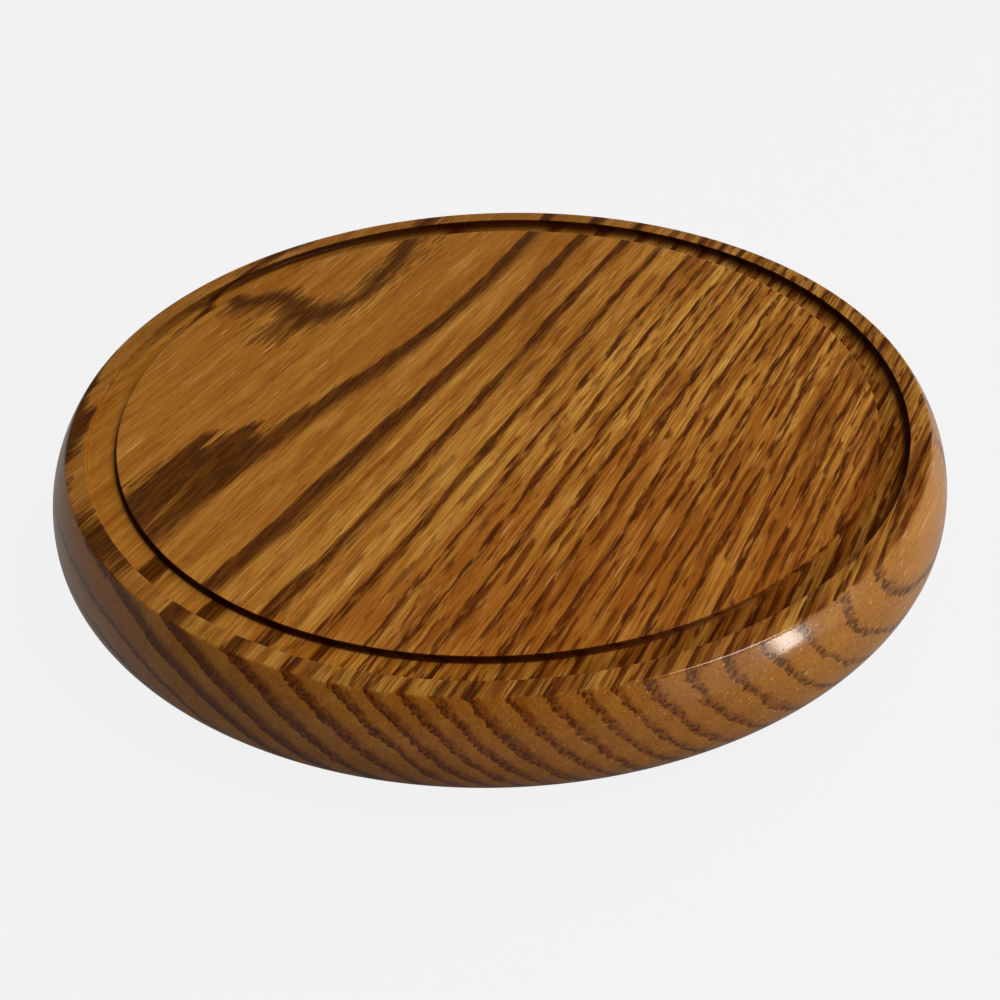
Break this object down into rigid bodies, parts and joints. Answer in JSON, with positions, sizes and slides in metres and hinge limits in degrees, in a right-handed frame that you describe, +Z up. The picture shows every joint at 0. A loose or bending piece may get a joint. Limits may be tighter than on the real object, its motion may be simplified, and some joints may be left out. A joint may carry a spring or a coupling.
{
  "type": "cheese board",
  "caption": "Round wooden cheese board with a flat serving face, a ring groove that seats a glass dome, a swelled rounded edge and screwed-on rubber feet.",
  "frame": {"origin": "centre of the plane that the four feet stand on, on the board's own axis", "axes": "+Z up along the axis that the board was turned on, +X to the right and +Y away from the side that the picture was taken from"},
  "size_m": [0.23, 0.23, 0.032],
  "materials": {
    "oak": "golden-brown stain under gloss varnish",
    "rubber": "matt moulded",
    "steel": "bright zinc plate"
  },
  "bodies": {
    "root": {"board": "oak", "foot_back_right": "rubber", "foot_back_left": "rubber", "foot_front_left": "rubber", "foot_front_right": "rubber", "foot_washer_back_right": "steel", "foot_washer_back_left": "steel", "foot_washer_front_left": "steel", "foot_washer_front_right": "steel", "foot_screw_back_right": "steel", "foot_screw_back_left": "steel", "foot_screw_front_left": "steel", "foot_screw_front_right": "steel"}
  },
  "joints": []
}
